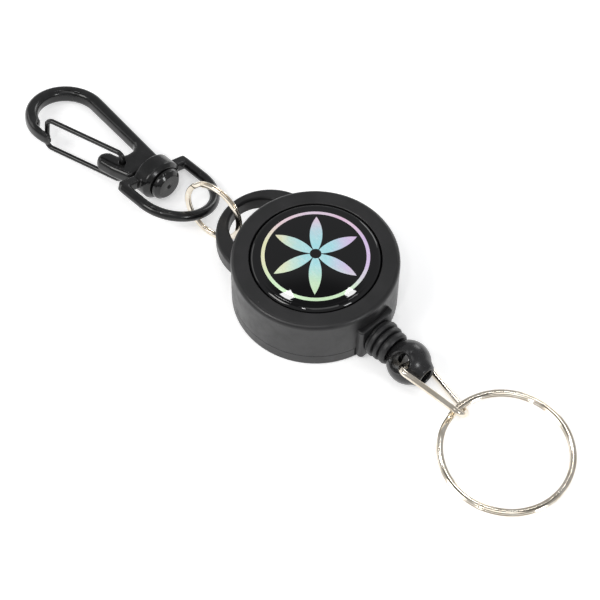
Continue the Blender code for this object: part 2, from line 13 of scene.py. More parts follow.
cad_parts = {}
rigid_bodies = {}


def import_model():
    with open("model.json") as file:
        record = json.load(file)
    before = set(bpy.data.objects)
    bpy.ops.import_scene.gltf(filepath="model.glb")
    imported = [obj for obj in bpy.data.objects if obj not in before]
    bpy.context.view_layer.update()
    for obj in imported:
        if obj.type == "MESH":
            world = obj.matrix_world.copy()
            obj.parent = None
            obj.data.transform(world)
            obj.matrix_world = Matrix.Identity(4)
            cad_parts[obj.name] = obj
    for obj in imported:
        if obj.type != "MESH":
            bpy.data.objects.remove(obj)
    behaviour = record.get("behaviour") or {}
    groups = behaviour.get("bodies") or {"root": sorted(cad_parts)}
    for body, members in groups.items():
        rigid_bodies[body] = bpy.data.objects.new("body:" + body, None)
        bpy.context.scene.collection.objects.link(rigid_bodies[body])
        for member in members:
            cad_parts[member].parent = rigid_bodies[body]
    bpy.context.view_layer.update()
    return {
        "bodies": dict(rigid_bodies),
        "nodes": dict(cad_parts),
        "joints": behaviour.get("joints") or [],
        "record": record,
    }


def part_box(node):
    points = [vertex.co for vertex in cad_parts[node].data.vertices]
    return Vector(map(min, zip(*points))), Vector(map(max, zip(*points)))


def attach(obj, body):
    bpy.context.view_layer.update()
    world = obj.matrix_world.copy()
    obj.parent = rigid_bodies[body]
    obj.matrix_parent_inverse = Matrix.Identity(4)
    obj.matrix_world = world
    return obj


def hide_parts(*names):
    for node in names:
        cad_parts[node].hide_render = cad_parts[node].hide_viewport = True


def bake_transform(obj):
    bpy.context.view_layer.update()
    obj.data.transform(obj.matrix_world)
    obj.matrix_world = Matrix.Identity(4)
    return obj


MM = 0.001

# Camera
VIEW_AZIMUTH = radians(45.7)
VIEW_ELEVATION = radians(56.3)
VIEW_ROLL = radians(0.75)
VIEW_DISTANCE = 0.43
VIEW_ANGLE = radians(18.24)
VIEW_ASIDE = (3.37 * MM, 1.385 * MM)

# Surroundings: a bright sky that darkens overhead
WORLD_FADE = {"From Min": 0.86, "From Max": 0.92, "To Min": 0.42, "To Max": 0.14}
FLOOR_GLOW = 0.4
FLOOR_REACH = 4.0
FLOOR_Z = -0.02 * MM
WARM, COOL, WHITE = (1.0, 0.99, 0.97), (0.98, 0.99, 1.0), (1.0, 1.0, 1.0)

# Lights: direction as shares of front, level and above, then distance, size, watts and colour
LIGHTS = {
    "key": ((0.35, -0.75, 0.9), 0.9, (0.34, 0.3), 2.4, WARM),
    "fill": ((0.7, 0.8, 0.6), 0.8, (0.13, 0.16), 1.0, COOL),
    "top": ((0.25, 0.1, 1.0), 1.1, (0.5, 0.5), 1.2, WHITE),
    "spark": ((0.5, -0.2, 1.0), 1.0, (0.06, 0.06), 0.7, WHITE),
    "window": ((-0.333, -0.15, 0.931), 0.9, (0.1, 0.045), 0.3, WHITE),
    "pane": ((-0.358, 0.18, 0.916), 0.9, (0.055, 0.045), 0.16, WHITE),
    "card": ((-0.4, -0.8, 0.35), 1.0, (0.8, 0.3), 1.0, WARM),
    "rim": ((-0.9, 0.55, 0.35), 0.9, (0.3, 0.3), 0.8, WHITE),
}

# Case
CASE_R = 19.05 * MM
CASE_H = 14.8 * MM
CAVITY_R = 17.45 * MM
CEILING_Z = 12.0 * MM
FLOOR_T = 1.2 * MM
SEAM_Z = 3.3 * MM
SEAM_HALF = 0.04 * MM
RECESS_R = 15.0 * MM  # closer to the dome than the CAD recess, whose gap shows as a dark ring
RECESS_Z = 13.2 * MM
SCREW_WAY_R = 1.4 * MM
SCREW_SEAT_R = 2.8 * MM
DOME_R = 14.9 * MM
DOME_SHOULDER_Z = 15.0 * MM
DOME_EDGE_R = 1.4 * MM
LUG_X = -14.8 * MM
LUG_R = 12.55 * MM
LUG_HOLE_X = -17.5 * MM
LUG_HOLE_R = 7.7 * MM
LUG_Z = (5.1 * MM, 9.5 * MM)
BLOCK_X = (17.0 * MM, 20.1 * MM)
BLOCK_HALF = 5.0 * MM
BLOCK_Z = (0.5 * MM, 10.4 * MM)
OUTLET_BORE_R = 2.9 * MM

# Emblem printed under the dome
PETAL_R = 10.6 * MM
BORDER_R = (11.4 * MM, 12.2 * MM)
EYE_R = 1.3 * MM
PETAL_TURN = radians(15)
FOIL_TURN = (0.70, 0.716)

# Cord, ball and link
CORD_R = 0.45 * MM
CORD_SPLIT_X = 20.5 * MM
KNOT_X = -2.85 * MM
KNOT_WIRE_R = 0.3 * MM
BALL_R = 5.05 * MM
HOLE_R = 2.15 * MM
LIP_R = 2.7 * MM
LIP_TOP = 4.75 * MM
HOLE_TILT = radians(48)
NOSE_TIP = 5.45 * MM
LINK_WIRE_R = 0.75 * MM
LINK_LENGTH = 16.5 * MM
LINK_HALF = 6.4 * MM
LINK_CORNER = 1.6 * MM
LINK_TIP_R = 2.6 * MM
LINK_TILTS = (radians(42), radians(46))

# Split rings: radius, then width, thickness of one turn, and start angle
KEY_RING = (14.53 * MM, 1.5 * MM, 0.72 * MM, radians(215))
KEY_RING_FAR_Z = 1.2 * MM
LUG_RING = (7.4 * MM, 1.3 * MM, 0.6 * MM, radians(60))
LUG_RING_CENTRE = Vector((-29.0, -4.8, 7.9)) * MM
TURN_GAP = 0.06 * MM
JOG = radians(24)

# Snap hook, in the swivel's axes
COLLAR_R = 4.9 * MM
COLLAR_HALF = 5.6 * MM
COLLAR_X = (-1.4 * MM, 3.3 * MM)
YOKE_BAR_X = (-1.3 * MM, 1.2 * MM)
YOKE_BAR_HALF = 10.6 * MM
YOKE_BAR_H = 2.5 * MM
BAIL_HALF = 9.9 * MM
BAIL_R = 1.25 * MM
BAIL_STRAIGHT_X = 6.7 * MM
PIN_R = 1.25 * MM
PIN_HEAD_R = 4.0 * MM
PIN_HEAD_X = (3.6 * MM, 5.3 * MM)
HOOK_T = 3.6 * MM
HOOK_BASE_X = -1.7 * MM
HOOK_EDGE = 1.3 * MM
BAR_W = 3.15 * MM
NOSE_CENTRE = (-28.3 * MM, -2.8 * MM)
NOSE_R = 10.1 * MM
SPINE_SLOPE = radians(7)
NOSE_ENDS = (radians(293.5), radians(253))
GATE_WIRE_R = 0.62 * MM
GATE_HALF = 4.2 * MM
GATE_BEND = 1.6 * MM
GATE_PIVOT = (-6.5 * MM, -4.3 * MM)
GATE_END = (-26.9 * MM, -10.2 * MM)
CAST_VOXEL = 0.14 * MM


# Shapes


def in_mm(points):
    """Points given in millimetres."""
    return [(x * MM, y * MM) for x, y in points]


def arc(centre, radius, start, end, count):
    """Points from one angle to another about a centre."""
    angles = [start + (end - start) * i / count for i in range(count + 1)]
    return [(centre[0] + radius * cos(a), centre[1] + radius * sin(a)) for a in angles]


def filleted(corners, count=6):
    """A closed outline with rounded corners, each given as x, y and radius in millimetres."""
    outline = []
    for i, (x, y, radius) in enumerate(corners):
        corner = Vector((x, y))
        if not radius:
            outline.append((x * MM, y * MM))
            continue
        before = Vector(corners[i - 1][:2]) - corner
        after = Vector(corners[(i + 1) % len(corners)][:2]) - corner
        half = before.angle(after) / 2
        back = min(radius / tan(half), 0.48 * before.length, 0.48 * after.length)
        middle = corner + (before.normalized() + after.normalized()).normalized() * back / cos(half)
        start = corner + before.normalized() * back - middle
        end = corner + after.normalized() * back - middle
        turn = (atan2(end.y, end.x) - atan2(start.y, start.x) + pi) % (2 * pi) - pi
        first = atan2(start.y, start.x)
        outline += [(px * MM, py * MM) for px, py in arc(middle, start.length, first, first + turn, count)]
    return outline


def made(name, bm, look=None, angle=38):
    """An object from a bmesh, smooth where it is round."""
    bmesh.ops.remove_doubles(bm, verts=bm.verts, dist=1e-8)
    bmesh.ops.recalc_face_normals(bm, faces=bm.faces)
    mesh = bpy.data.meshes.new(name)
    bm.to_mesh(mesh)
    bm.free()
    mesh.shade_smooth()
    mesh.set_sharp_from_angle(angle=radians(angle))
    obj = bpy.data.objects.new(name, mesh)
    bpy.context.scene.collection.objects.link(obj)
    if look:
        mesh.materials.append(look)
    return obj


def turned(name, profile, look=None, steps=192, axis="Z", angle=38):
    """A closed (radius, height) profile spun about Z, or about X with its height along X."""
    bm = bmesh.new()
    points = [bm.verts.new((r, 0, h)) for r, h in profile]
    edges = [bm.edges.new(pair) for pair in zip(points, points[1:] + points[:1])]
    bmesh.ops.spin(
        bm, geom=points + edges, cent=(0, 0, 0), axis=(0, 0, 1),
        angle=2 * pi, steps=steps, use_merge=True,
    )
    bmesh.ops.remove_doubles(bm, verts=bm.verts, dist=1e-8)
    loose = [edge for edge in bm.edges if not edge.link_faces]
    bmesh.ops.delete(bm, geom=loose, context="EDGES")
    if axis == "X":
        quarter = Matrix.Rotation(pi / 2, 3, "Y")
        bmesh.ops.rotate(bm, verts=bm.verts, cent=(0, 0, 0), matrix=quarter)
    return made(name, bm, look, angle)


def prism(name, outline, low, high, edge=0.0, segments=4, clamped=True):
    """An outline in XY drawn up from low to high, with its rims rounded."""
    bm = bmesh.new()
    face = bm.faces.new([bm.verts.new((x, y, low)) for x, y in outline])
    drawn = bmesh.ops.extrude_face_region(bm, geom=[face])["geom"]
    tops = [part for part in drawn if isinstance(part, bmesh.types.BMVert)]
    bmesh.ops.translate(bm, verts=tops, vec=(0, 0, high - low))
    obj = made(name, bm)
    if edge:
        bevel = obj.modifiers.new("rims", "BEVEL")
        bevel.width = edge
        bevel.segments = segments
        bevel.limit_method = "ANGLE"
        bevel.angle_limit = radians(50)
        bevel.use_clamp_overlap = clamped
    return obj


def box(name, low, high, edge=0.0, radius=0.0):
    """A block between two corners, its upright corners rounded too."""
    corners = [(low[0], low[1]), (high[0], low[1]), (high[0], high[1]), (low[0], high[1])]
    outline = filleted([(x / MM, y / MM, radius / MM) for x, y in corners])
    return prism(name, outline, low[2], high[2], edge=edge)


def swept(name, path, look=None, closed=False):
    """A section carried along a path, given as one ring of points for each step."""
    bm = bmesh.new()
    rings = [[bm.verts.new(point) for point in ring] for ring in path]
    sides = len(rings[0])
    following = rings[1:] + rings[:1] if closed else rings[1:]
    for one, two in zip(rings, following):
        for k in range(sides):
            n = (k + 1) % sides
            bm.faces.new((one[k], one[n], two[n], two[k]))
    if not closed:
        bm.faces.new(rings[0])
        bm.faces.new(rings[-1])
    return made(name, bm, look, 60)


def smooth_route(points, per=6, closed=False):
    """Points of a Catmull-Rom curve through the given ones."""
    points = [Vector(p) for p in points]
    count = len(points)
    spans = count if closed else count - 1
    route = []
    for i in range(spans):
        a, b, c, d = (points[(i + k) % count] if closed else points[min(max(i + k, 0), count - 1)]
                      for k in (-1, 0, 1, 2))
        for step in range(per):
            t = step / per
            route.append(
                0.5 * (2 * b + (c - a) * t + (2 * a - 5 * b + 4 * c - d) * t**2
                       + (3 * b - a - 3 * c + d) * t**3)
            )
    if not closed:
        route.append(points[-1])
    return route


def wire(name, points, radius, look=None, sides=20, closed=False):
    """A round wire along points, its section carried without twist."""
    count = len(points)
    path = []
    across = None
    for i, point in enumerate(points):
        ahead = points[(i + 1) % count] if closed or i + 1 < count else point
        behind = points[i - 1] if closed or i else point
        heading = (ahead - behind).normalized()
        if across is None:
            across = heading.orthogonal().normalized()
        across = (across - heading * across.dot(heading)).normalized()
        along = heading.cross(across)
        turns = [2 * pi * k / sides for k in range(sides)]
        path.append([point + (across * cos(a) + along * sin(a)) * radius for a in turns])
    return swept(name, path, look, closed)


def applied(obj):
    """Turns the object's modifiers and place into its mesh."""
    bpy.context.view_layer.update()
    graph = bpy.context.evaluated_depsgraph_get()
    mesh = bpy.data.meshes.new_from_object(obj.evaluated_get(graph))
    mesh.transform(obj.matrix_world)
    obj.modifiers.clear()
    obj.matrix_world = Matrix.Identity(4)
    obj.data = mesh
    return obj


def combined(obj, other, operation, solver="EXACT"):
    """A Boolean made at once, after which its operand is gone.

    The ball asks for the manifold solver: on its bore the exact one now and then leaves a plug.
    """
    change = obj.modifiers.new("join", "BOOLEAN")
    change.operation = operation
    change.solver = solver
    change.object = applied(other)
    applied(obj)
    bpy.data.objects.remove(other)
    return obj


def crisp(obj, angle=35):
    """Smooth shading that leaves large flat faces flat."""
    obj.data.shade_smooth()
    obj.data.set_sharp_from_angle(angle=radians(angle))
    weighted = obj.modifiers.new("flats", "WEIGHTED_NORMAL")
    weighted.keep_sharp = True
    weighted.weight = 60
    return applied(obj)


def cast(obj, look, passes=8):
    """Runs joined shapes into one soft-edged casting."""
    voxels = obj.modifiers.new("casting", "REMESH")
    voxels.mode = "VOXEL"
    voxels.voxel_size = CAST_VOXEL
    soften = obj.modifiers.new("soften", "SMOOTH")
    soften.factor = 0.5
    soften.iterations = passes
    applied(obj)
    obj.data.shade_smooth()
    obj.data.materials.clear()
    obj.data.materials.append(look)
    return obj


def placed(obj, matrix):
    """The object with a place turned into its mesh."""
    obj.data.transform(matrix)
    return obj


def basis(x, y, z, origin):
    """A frame from three axes and a point."""
    matrix = Matrix((Vector(x), Vector(y), Vector(z))).transposed().to_4x4()
    matrix.translation = Vector(origin)
    return matrix


# Materials


class Look:
    """A material's node tree, with short calls for the nodes that these looks share."""

    def __init__(self, name, **sockets):
        self.material = bpy.data.materials.new(name)
        self.material.use_nodes = True
        self.nodes = self.material.node_tree.nodes
        self.links = self.material.node_tree.links
        self.shader = self.nodes["Principled BSDF"]
        for socket, value in sockets.items():
            self.shader.inputs[socket.replace("_", " ")].default_value = value
        self.place = self.nodes.new("ShaderNodeTexCoord").outputs["Object"]

    def link(self, value, socket):
        """Feeds a socket from an output, or sets it to a constant."""
        if isinstance(value, bpy.types.NodeSocket):
            self.links.new(value, socket)
        else:
            socket.default_value = value

    def scaled(self, scale):
        """The object's own coordinates, scaled along each axis."""
        node = self.nodes.new("ShaderNodeMapping")
        node.inputs["Scale"].default_value = scale
        self.link(self.place, node.inputs["Vector"])
        return node.outputs["Vector"]

    def noise(self, size, detail=3.0, where=None, rough=0.55):
        """Noise whose features are about this many millimetres across."""
        node = self.nodes.new("ShaderNodeTexNoise")
        node.inputs["Scale"].default_value = 1000 / size
        node.inputs["Detail"].default_value = detail
        node.inputs["Roughness"].default_value = rough
        self.link(where or self.place, node.inputs["Vector"])
        return node.outputs["Fac"]

    def specks(self, size, share):
        """One where a small spot of dust lies, and zero elsewhere."""
        cells = self.nodes.new("ShaderNodeTexVoronoi")
        cells.inputs["Scale"].default_value = 1000 / size
        self.link(self.place, cells.inputs["Vector"])
        near = self.math("LESS_THAN", cells.outputs["Distance"], 0.07)
        chosen = self.math("LESS_THAN", self.axis(cells.outputs["Color"], "Red"), share)
        return self.math("MULTIPLY", near, chosen)

    def axis(self, vector, part):
        """One part of a vector or a colour."""
        kind = "ShaderNodeSeparateColor" if part in ("Red", "Green", "Blue") else "ShaderNodeSeparateXYZ"
        node = self.nodes.new(kind)
        self.link(vector, node.inputs[0])
        return node.outputs[part]

    def math(self, operation, a, b=0.0):
        """One sum of two values."""
        node = self.nodes.new("ShaderNodeMath")
        node.operation = operation
        self.link(a, node.inputs[0])
        self.link(b, node.inputs[1])
        return node.outputs[0]

    def ranged(self, value, low, high, to_low, to_high):
        """Maps a range to another, with smooth ends."""
        node = self.nodes.new("ShaderNodeMapRange")
        node.interpolation_type = "SMOOTHSTEP"
        self.link(value, node.inputs["Value"])
        for socket, number in zip(("From Min", "From Max", "To Min", "To Max"), (low, high, to_low, to_high)):
            node.inputs[socket].default_value = number
        return node.outputs["Result"]

    def mixed(self, factor, a, b):
        """A colour between two, each an (r, g, b) or an output."""
        node = self.nodes.new("ShaderNodeMix")
        node.data_type = "RGBA"
        self.link(factor, node.inputs["Factor"])
        for value, socket in ((a, node.inputs[6]), (b, node.inputs[7])):
            self.link((*value, 1.0) if isinstance(value, tuple) else value, socket)
        return node.outputs[2]

    def bump(self, height, depth, over=None):
        """A bump of this many millimetres."""
        node = self.nodes.new("ShaderNodeBump")
        node.inputs["Distance"].default_value = depth * MM
        self.link(height, node.inputs["Height"])
        if over:
            self.link(over, node.inputs["Normal"])
        return node.outputs["Normal"]

    def surface(self, colour=None, roughness=None, normal=None, metallic=None):
        """Feeds what varies over the surface to the shader."""
        fed = {"Base Color": colour, "Roughness": roughness, "Normal": normal, "Metallic": metallic}
        for socket, value in fed.items():
            if value is not None:
                self.link(value, self.shader.inputs[socket])
        return self.material


def moulded_plastic(name, dark, light, rough, grain=0.006, dust=0.05):
    """Black moulded plastic: eroded grain, faint flow marks, handling marks and a little dust."""
    look = Look(name, IOR=1.5)
    flow = look.noise(7.0, 2.0)
    colour = look.mixed(look.ranged(flow, 0.35, 0.7, 0.0, 1.0), dark, light)
    colour = look.mixed(look.math("MULTIPLY", look.specks(1.1, dust), 0.35), colour, (0.35, 0.34, 0.32))
    handled = look.noise(3.2, 4.0, rough=0.65)
    roughness = look.ranged(handled, 0.3, 0.72, rough[0], rough[1])
    fine = look.bump(look.noise(0.16, 2.0), grain)
    normal = look.bump(look.noise(2.4, 2.0), 0.012, over=fine)
    return look.surface(colour, roughness, normal)


def painted_zinc():
    """Thick glossy black paint over a casting, with orange peel and a few rubbed spots."""
    look = Look("painted_zinc", IOR=1.42, Coat_Weight=0.18, Coat_Roughness=0.05)
    pooled = look.noise(2.6, 3.0)
    pooled = look.ranged(pooled, 0.4, 0.7, 0.0, 1.0)
    colour = look.mixed(pooled, (0.006, 0.006, 0.006), (0.012, 0.012, 0.0125))
    colour = look.mixed(look.math("MULTIPLY", look.specks(0.9, 0.06), 0.4), colour, (0.3, 0.29, 0.27))
    roughness = look.ranged(look.noise(1.7, 4.0), 0.32, 0.72, 0.14, 0.27)
    peel = look.bump(look.noise(0.75, 1.5), 0.014)
    return look.surface(colour, roughness, peel)


def nickel_plate():
    """Bright nickel with a warm cast, hairline scratches and duller, handled patches."""
    look = Look("nickel_plate", IOR=1.5, Metallic=1.0)
    tone = look.ranged(look.noise(3.5, 3.0), 0.35, 0.68, 0.0, 1.0)
    colour = look.mixed(tone, (0.76, 0.68, 0.56), (0.90, 0.84, 0.74))
    hair = look.noise(0.5, 4.0, look.scaled((0.25, 2.6, 2.6)), 0.7)
    roughness = look.ranged(look.noise(1.4, 5.0), 0.35, 0.75, 0.1, 0.17)
    return look.surface(colour, roughness, look.bump(hair, 0.0002))


def black_rubber():
    """Soft black boot rubber: even grain and paler, rubbed crests."""
    look = Look("black_rubber", IOR=1.48)
    rubbed = look.ranged(look.noise(1.8, 4.0), 0.42, 0.75, 0.0, 1.0)
    colour = look.mixed(rubbed, (0.012, 0.012, 0.0125), (0.024, 0.024, 0.025))
    roughness = look.ranged(look.noise(2.2, 3.0), 0.3, 0.7, 0.36, 0.5)
    return look.surface(colour, roughness, look.bump(look.noise(0.2, 2.0), 0.007))


def braided_cord():
    """Black nylon braid: two sets of strands that cross along the cord."""
    look = Look("nylon_cord", Sheen_Weight=0.3, IOR=1.5)
    weave = None
    for slant in (1.0, -1.0):
        node = look.nodes.new("ShaderNodeTexWave")
        node.inputs["Scale"].default_value = 700
        look.link(look.scaled((1.0, slant, slant)), node.inputs["Vector"])
        strand = node.outputs["Fac"]
        weave = look.math("MAXIMUM", weave, strand) if weave else strand
    colour = look.mixed(weave, (0.008, 0.008, 0.008), (0.035, 0.035, 0.036))
    roughness = look.ranged(look.noise(0.3), 0.3, 0.7, 0.55, 0.75)
    return look.surface(colour, roughness, look.bump(weave, 0.06))


def white_acetal():
    """Milky moulded acetal with faint flow lines."""
    look = Look("white_acetal", IOR=1.48, Subsurface_Weight=0.1, Subsurface_Scale=1.5 * MM)
    colour = look.mixed(look.noise(6.0), (0.74, 0.73, 0.68), (0.84, 0.83, 0.79))
    roughness = look.ranged(look.noise(1.5), 0.3, 0.7, 0.3, 0.45)
    return look.surface(colour, roughness, look.bump(look.noise(0.25), 0.004))


def rolled_steel():
    """Blue-grey spring steel with rolling lines along the strip."""
    look = Look("spring_steel", Metallic=1.0)
    lines = look.noise(0.35, 3.0, look.scaled((0.1, 0.1, 3.0)))
    colour = look.mixed(look.noise(3.0), (0.27, 0.29, 0.34), (0.42, 0.43, 0.46))
    roughness = look.ranged(lines, 0.3, 0.7, 0.22, 0.4)
    return look.surface(colour, roughness, look.bump(lines, 0.003))


def printed_dome():
    """A gloss resin dome over a black label, with a foil rosette drawn by compass."""
    look = Look("printed_dome", Specular_IOR_Level=0.0, Coat_Weight=1.0, Coat_Roughness=0.015, Coat_IOR=1.5)
    x, y = look.axis(look.place, "X"), look.axis(look.place, "Y")
    flat = look.nodes.new("ShaderNodeCombineXYZ")
    look.link(x, flat.inputs["X"])
    look.link(y, flat.inputs["Y"])

    def distance(centre):
        node = look.nodes.new("ShaderNodeVectorMath")
        node.operation = "DISTANCE"
        look.link(flat.outputs[0], node.inputs[0])
        node.inputs[1].default_value = centre
        return node.outputs["Value"]

    covered = 0.0
    for k in range(6):
        turn = k * pi / 3 + PETAL_TURN
        centre = (PETAL_R * cos(turn), PETAL_R * sin(turn), 0)
        covered = look.math("ADD", look.math("LESS_THAN", distance(centre), PETAL_R), covered)
    from_middle = distance((0, 0, 0))
    petals = look.math("GREATER_THAN", covered, 2.5)
    petals = look.math("MULTIPLY", petals, look.math("LESS_THAN", from_middle, PETAL_R))
    petals = look.math("MULTIPLY", petals, look.math("GREATER_THAN", from_middle, EYE_R))
    inside = look.math("LESS_THAN", from_middle, BORDER_R[1])
    border = look.math("MULTIPLY", inside, look.math("GREATER_THAN", from_middle, BORDER_R[0]))
    foil = look.math("MAXIMUM", petals, border)

    near, far = FOIL_TURN
    right = look.math("ADD", look.math("MULTIPLY", x, near), look.math("MULTIPLY", y, far))
    up = look.math("ADD", look.math("MULTIPLY", x, -far), look.math("MULTIPLY", y, near))
    wander = look.math("MULTIPLY", look.math("SUBTRACT", look.noise(9.0, 3.0), 0.5), 9.0 * MM)
    right = look.math("ADD", right, wander)
    up = look.math("SUBTRACT", up, wander)
    violet = look.ranged(right, 1.0 * MM, 8.0 * MM, 0.0, 1.0)
    tint = look.mixed(violet, (0.42, 0.84, 0.90), (0.78, 0.58, 0.92))
    tint = look.mixed(look.ranged(right, -1.5 * MM, -9.0 * MM, 0.0, 1.0), tint, (0.90, 0.90, 0.56))
    tint = look.mixed(look.ranged(up, -2.0 * MM, -9.0 * MM, 0.0, 1.0), tint, (0.66, 0.92, 0.58))
    tint = look.mixed(look.ranged(up, 4.0 * MM, 10.0 * MM, 0.0, 0.8), tint, (0.94, 0.62, 0.80))
    streaks = look.noise(0.8, 3.0, look.scaled((0.35, 2.4, 1.0)))
    tint = look.mixed(look.ranged(streaks, 0.3, 0.75, 0.0, 0.3), tint, (0.93, 0.94, 0.93))
    colour = look.mixed(foil, (0.0035, 0.0035, 0.004), tint)
    metallic = look.math("MULTIPLY", foil, 0.12)
    roughness = look.ranged(look.noise(1.1, 3.0), 0.3, 0.7, 0.2, 0.32)
    return look.surface(colour, roughness, metallic=metallic)


def pale_floor():
    """White paper that glows a little, as a lit background does."""
    look = Look("floor_paper", IOR=1.45, Specular_IOR_Level=0.2,
                Emission_Color=(1, 1, 1, 1), Emission_Strength=FLOOR_GLOW)
    colour = look.mixed(look.noise(60.0), (0.93, 0.93, 0.93), (0.95, 0.95, 0.95))
    return look.surface(colour, 0.7)


# Pieces


def case_front(look):
    """The upper shell: rim, label recess, lug and the block that the cord leaves by."""
    top, rim = CASE_H / MM, CASE_R / MM
    seam = (SEAM_Z + SEAM_HALF) / MM
    recess, floor = RECESS_R / MM, RECESS_Z / MM
    seat, way = SCREW_SEAT_R / MM, SCREW_WAY_R / MM
    ceiling, inner = CEILING_Z / MM, CAVITY_R / MM
    front = turned("case_shell_front", filleted([
        (way, ceiling, 0), (seat, ceiling, 0), (seat, floor, 0.1), (recess - 0.25, floor, 0.1),
        (recess, floor - 0.25, 0.1), (recess, top - 0.1, 0), (recess + 0.12, top, 0.06),
        (recess + 0.9, top - 0.02, 0.3), (rim, top, 1.1), (rim, seam, 0.07), (inner, seam, 0.1),
        (inner, ceiling, 0.3), (3.4, ceiling, 0.2), (3.4, 11.0, 0.1), (way, 11.0, 0),
    ]), look)
    lug = prism("lug", arc((LUG_X, 0), LUG_R, 0, 2 * pi * 143 / 144, 143), *LUG_Z, edge=0.75 * MM)
    combined(lug, turned("lug_root", [(0, 1), (CASE_R - 0.8 * MM, 1), (CASE_R - 0.8 * MM, -1), (0, -1)]),
             "DIFFERENCE")
    middle = (LUG_Z[0] + LUG_Z[1]) / 2
    half = (LUG_Z[1] - LUG_Z[0]) / 2 / MM
    mouth = LUG_HOLE_R / MM
    hole = turned("lug_hole", filleted([
        (0, half + 2, 0), (mouth + 2.6, half + 2, 0), (mouth, half - 0.45, 0.8),
        (mouth, 0.45 - half, 0.8), (mouth + 2.6, -half - 2, 0), (0, -half - 2, 0),
    ]), steps=144)
    hole.location = (LUG_HOLE_X, 0, middle)
    combined(lug, hole, "DIFFERENCE")
    combined(front, lug, "UNION")
    block = box("block", (BLOCK_X[0], -BLOCK_HALF, BLOCK_Z[0]), (BLOCK_X[1], BLOCK_HALF, BLOCK_Z[1]),
                0.55 * MM, 0.9 * MM)
    keep_out = turned("block_root", [(0, 1), (CAVITY_R + 0.4 * MM, 1), (CAVITY_R + 0.4 * MM, -1), (0, -1)])
    combined(block, keep_out, "DIFFERENCE")
    combined(front, block, "UNION")
    bore = turned("bore", [(0, 25 * MM), (OUTLET_BORE_R, 25 * MM), (OUTLET_BORE_R, 15 * MM), (0, 15 * MM)],
                  steps=64, axis="X")
    bore.location.z = OUTLET_Z
    combined(front, bore, "DIFFERENCE")
    return crisp(front)


def case_back(look):
    """The lower shell, let out round the cord block."""
    rim, inner = CASE_R / MM, CAVITY_R / MM
    seam, floor = (SEAM_Z - SEAM_HALF) / MM, FLOOR_T / MM
    back = turned("case_shell_back", filleted([
        (0, floor, 0), (inner, floor, 0.3), (inner, seam, 0.1), (rim, seam, 0.07), (rim, 0, 0.5), (0, 0, 0),
    ]), look)
    gap = 0.25 * MM
    notch = box("notch", (BLOCK_X[0] - gap, -BLOCK_HALF - gap, BLOCK_Z[0] - gap / 2),
                (BLOCK_X[1] + gap, BLOCK_HALF + gap, BLOCK_Z[1]))
    combined(back, notch, "DIFFERENCE")
    return crisp(back)


def label_dome(look):
    """The resin dome: a soft shoulder that runs into a shallow crown."""
    low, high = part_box("label_dome")
    crown = high.z - DOME_SHOULDER_Z
    sphere_r = (DOME_R**2 + crown**2) / (2 * crown)
    half = acos(1 - crown / sphere_r)
    steps = 40
    cap = [(sphere_r * sin(half * i / steps), high.z - sphere_r * (1 - cos(half * i / steps)))
           for i in range(steps - 3)]
    slope = half * (steps - 4) / steps
    centre = (DOME_R - DOME_EDGE_R, cap[-1][1] - DOME_EDGE_R * cos(slope))
    edge = arc(centre, DOME_EDGE_R, pi / 2 - slope, 0, 14)
    cap = [point for point in cap if point[0] < edge[0][0] - 0.1 * MM]
    return turned("resin_dome", [*cap, *edge, (DOME_R, low.z), (0, low.z)], look, angle=70)


def strain_relief(look):
    """The ribbed boot, cupped for the ball."""
    ribs = []
    for crest, radius, waist in ((24.75, 4.1, 3.3), (23.15, 4.35, 3.45), (21.55, 4.6, 3.7)):
        ribs += [(radius, crest + 0.5, 0.3), (radius, crest - 0.5, 0.3)]
        if crest > 22:
            ribs += [(waist, crest - 0.62, 0.12), (waist, crest - 0.98, 0.12)]
    low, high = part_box("strain_relief")
    root = BLOCK_X[1] / MM + 0.1
    boot = turned("strain_relief_boot", filleted([
        (0.9, low.x / MM, 0.1), (0.9, 24.8, 0.3), (3.3, high.x / MM, 0.15), (3.75, high.x / MM, 0.2), *ribs,
        (4.1, 20.75, 0.1), (4.1, root, 0.1), (2.6, root, 0), (2.6, low.x / MM, 0.1),
    ]), look, steps=128, axis="X", angle=50)
    return placed(boot, Matrix.Translation((0, 0, OUTLET_Z)))


